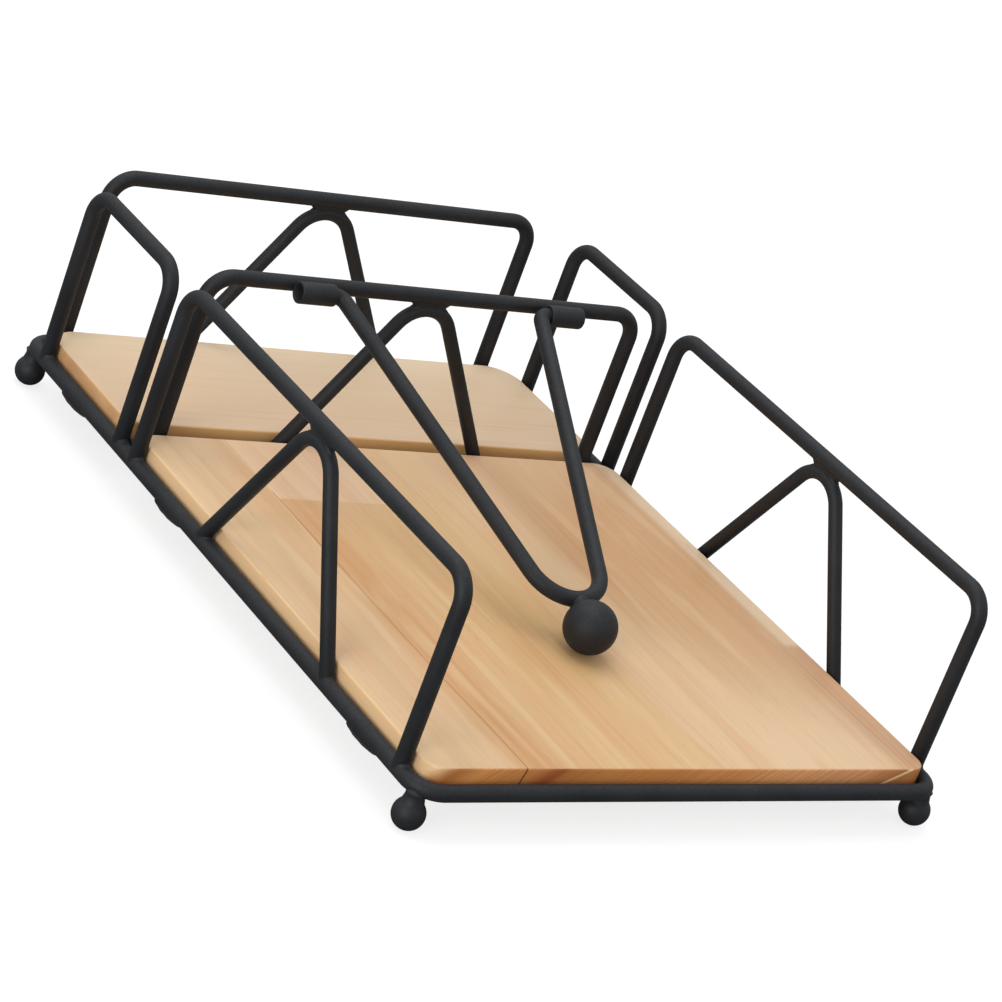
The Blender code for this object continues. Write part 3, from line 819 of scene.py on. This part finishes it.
def build_straps(coat):
    for node in ("front_strap", "middle_strap", "rear_strap"):
        low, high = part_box(node)
        thickness = high.z - low.z
        corners = [
            Vector((high.x, low.y, low.z)),
            Vector((high.x, high.y, low.z)),
            Vector((low.x, high.y, low.z)),
            Vector((low.x, low.y, low.z)),
        ]
        outline = bent_path(corners, [1.6 * MM] * 4, closed=True)
        middle = Vector((0, (low.y + high.y) / 2, low.z))
        rings = []
        for height, inset in edge_profile(thickness, 0.3 * MM):
            rings.append([inset_point(outline, i, inset) + UP * height for i in range(len(outline))])
        bm = bmesh.new()
        loft(bm, [[middle], *rings, [middle + UP * thickness]])
        for x in (-RING_HALF_WIDTH, RING_HALF_WIDTH):
            start = Vector((x, low.y - 2.5 * MM, high.z - 0.1 * MM))
            end = Vector((x, high.y + 2.5 * MM, high.z - 0.1 * MM))
            seam_weld(bm, start, end, ACROSS, 1.0 * MM, 2.0 * MM, bluntness=2)
        piece(node + "_skin", bm, node, "frame", coat)


def build_screws(steel):
    for row in ("front", "middle", "rear"):
        for side in ("left", "right"):
            node = f"{row}_{side}_screw"
            low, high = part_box(node)
            centre = box_centre(node)
            radius = (high.x - low.x) / 2
            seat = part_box(f"{row}_strap")[0].z
            bm = bmesh.new()
            pan_head_screw(bm, Vector((centre.x, centre.y, 0)), radius, low.z, seat, high.z)
            obj = piece(node + "_skin", bm, node, "frame", steel, flat_above=35)
            cut_recess(obj, Vector((centre.x, centre.y, low.z)), radius)


def pan_head_screw(bm, base, radius, bottom, seat, point):
    """Head down, threaded shank up: the thread is a run of fine rings."""
    head = seat - 0.05 * MM - bottom
    crown = [math.radians(90 - 15 * i) for i in range(7)]
    profile = [(0, bottom)]
    for angle in crown[1:]:
        profile.append((radius * math.cos(angle) ** 0.8, bottom + head * 0.75 * (1 - math.sin(angle))))
    profile += [(radius, bottom + head * 0.85), (radius - 0.2 * MM, bottom + head), (SCREW_SHANK_RADIUS, bottom + head)]
    pitch = 0.6 * MM
    height = bottom + head + 2 * pitch
    while height < point - 2.4 * MM:
        profile += [(SCREW_SHANK_RADIUS * 0.75, height), (SCREW_SHANK_RADIUS, height + pitch / 2)]
        height += pitch
    profile += [(SCREW_SHANK_RADIUS * 0.7, height), (0, point)]
    lathe(bm, profile, base, UP, sides=40)


def cut_recess(screw, centre, radius):
    """A cross recess in the head, cut by two tapered blades."""
    for turn in (0, math.pi / 2):
        bm = bmesh.new()
        blade = [(radius * 0.58, -0.2 * MM), (radius * 0.30, 1.1 * MM)]
        rings = []
        for reach, height in blade:
            rings.append([
                centre + Matrix.Rotation(turn, 3, "Z") @ Vector((x * reach, y * 0.42 * MM, height))
                for x, y in ((-1, -1), (1, -1), (1, 1), (-1, 1))
            ])
        loft(bm, rings)
        bmesh.ops.recalc_face_normals(bm, faces=bm.faces)
        mesh = bpy.data.meshes.new("recess")
        bm.to_mesh(mesh)
        bm.free()
        cutter = bpy.data.objects.new("recess_cutter", mesh)
        bpy.context.scene.collection.objects.link(cutter)
        difference = screw.modifiers.new("Recess", "BOOLEAN")
        difference.operation = "DIFFERENCE"
        difference.object = cutter
        bpy.context.view_layer.update()
        evaluated = screw.evaluated_get(bpy.context.evaluated_depsgraph_get())
        cut = bpy.data.meshes.new_from_object(evaluated)
        screw.modifiers.clear()
        screw.data = cut
        bpy.data.objects.remove(cutter, do_unlink=True)


# ---- stage, light and camera ---------------------------------------------------------


def floor_material():
    """A pale floor: nearly white to the camera with soft shadows, greyer to the light it throws back."""
    g = Graph("floor")
    seen = g.node("ShaderNodeLightPath", output=0)
    place = g.node("ShaderNodeTexCoord", output=3)
    cloud = g.noise(place, 3.0, 2.0)
    tone = g.mix(cloud, (0.29, 0.29, 0.29), (0.31, 0.31, 0.31))
    glow = g.math("MULTIPLY", seen, 0.78)
    return g.surface(
        Base_Color=tone, Roughness=0.9, Specular_IOR_Level=0.0,
        Emission_Color=(1.0, 1.0, 1.0, 1.0), Emission_Strength=glow,
    )


def build_stage():
    mesh = bpy.data.meshes.new("floor")
    bm = bmesh.new()
    bmesh.ops.create_grid(bm, x_segments=8, y_segments=8, size=12.0)
    bm.to_mesh(mesh)
    bm.free()
    mesh.materials.append(floor_material())
    floor = bpy.data.objects.new("floor", mesh)
    bpy.context.scene.collection.objects.link(floor)


def add_area(name, place, aim, size, power, colour):
    data = bpy.data.lights.new(name, "AREA")
    data.shape = "DISK"
    data.size = size
    data.energy = power
    data.color = colour
    lamp = bpy.data.objects.new(name, data)
    lamp.location = place
    lamp.rotation_mode = "QUATERNION"
    lamp.rotation_quaternion = (Vector(aim) - Vector(place)).to_track_quat("-Z", "Y")
    bpy.context.scene.collection.objects.link(lamp)


def build_light():
    """A white room with one big soft lamp overhead and a lower one from the left."""
    world = bpy.data.worlds.new("studio")
    world.use_nodes = True
    tree = world.node_tree
    seen = tree.nodes.new("ShaderNodeLightPath")
    strength = tree.nodes.new("ShaderNodeMapRange")
    strength.inputs["To Min"].default_value = 0.66
    strength.inputs["To Max"].default_value = 1.0
    background = tree.nodes["Background"]
    background.inputs["Color"].default_value = (0.98, 0.99, 1.0, 1.0)
    tree.links.new(seen.outputs["Is Camera Ray"], strength.inputs["Value"])
    tree.links.new(strength.outputs["Result"], background.inputs["Strength"])
    bpy.context.scene.world = world
    add_area("overhead", (-0.15, 0.45, 1.6), (0, 0, 0), 1.5, 11.0, (1.0, 0.99, 0.97))
    add_area("left_fill", (-1.55, -0.75, 0.42), (0, 0, 0.02), 1.0, 15.0, (1.0, 0.99, 0.97))


def build_camera():
    """The view from the front left, slightly above, with the camera rolled."""
    azimuth = math.radians(-39.861)
    elevation = math.radians(22.283)
    roll = math.radians(20.7575)
    distance = 1.15
    aim = Vector((34.4, 36.2, 14.1)) * MM
    back = Vector((
        math.sin(azimuth) * math.cos(elevation),
        -math.cos(azimuth) * math.cos(elevation),
        math.sin(elevation),
    ))
    right = (-back).cross(UP).normalized()
    up = right.cross(-back)
    rolled_right = right * math.cos(roll) + up * math.sin(roll)
    rolled_up = up * math.cos(roll) - right * math.sin(roll)
    data = bpy.data.cameras.new("camera")
    data.sensor_width = 36.0
    data.lens = 131.62
    data.clip_start = 0.05
    data.clip_end = 60.0
    camera = bpy.data.objects.new("camera", data)
    turn = Matrix((rolled_right, rolled_up, back)).transposed()
    camera.matrix_world = Matrix.Translation(aim + back * distance) @ turn.to_4x4()
    bpy.context.scene.collection.objects.link(camera)
    bpy.context.scene.camera = camera


def main():
    bpy.context.scene.view_settings.view_transform = "Standard"
    coat = powder_coat()
    build_ring(coat)
    build_hoops(coat)
    build_braces(coat)
    build_feet(coat)
    build_hinge_tubes(coat)
    build_arm(coat)
    build_board("front_board", FRONT_CORNER_RADIUS, INNER_CORNER_RADIUS, front_board_wood())
    build_board("back_board", INNER_CORNER_RADIUS, REAR_CORNER_RADIUS, back_board_wood())
    build_straps(coat)
    build_screws(zinc_steel())
    build_stage()
    build_light()
    build_camera()


main()
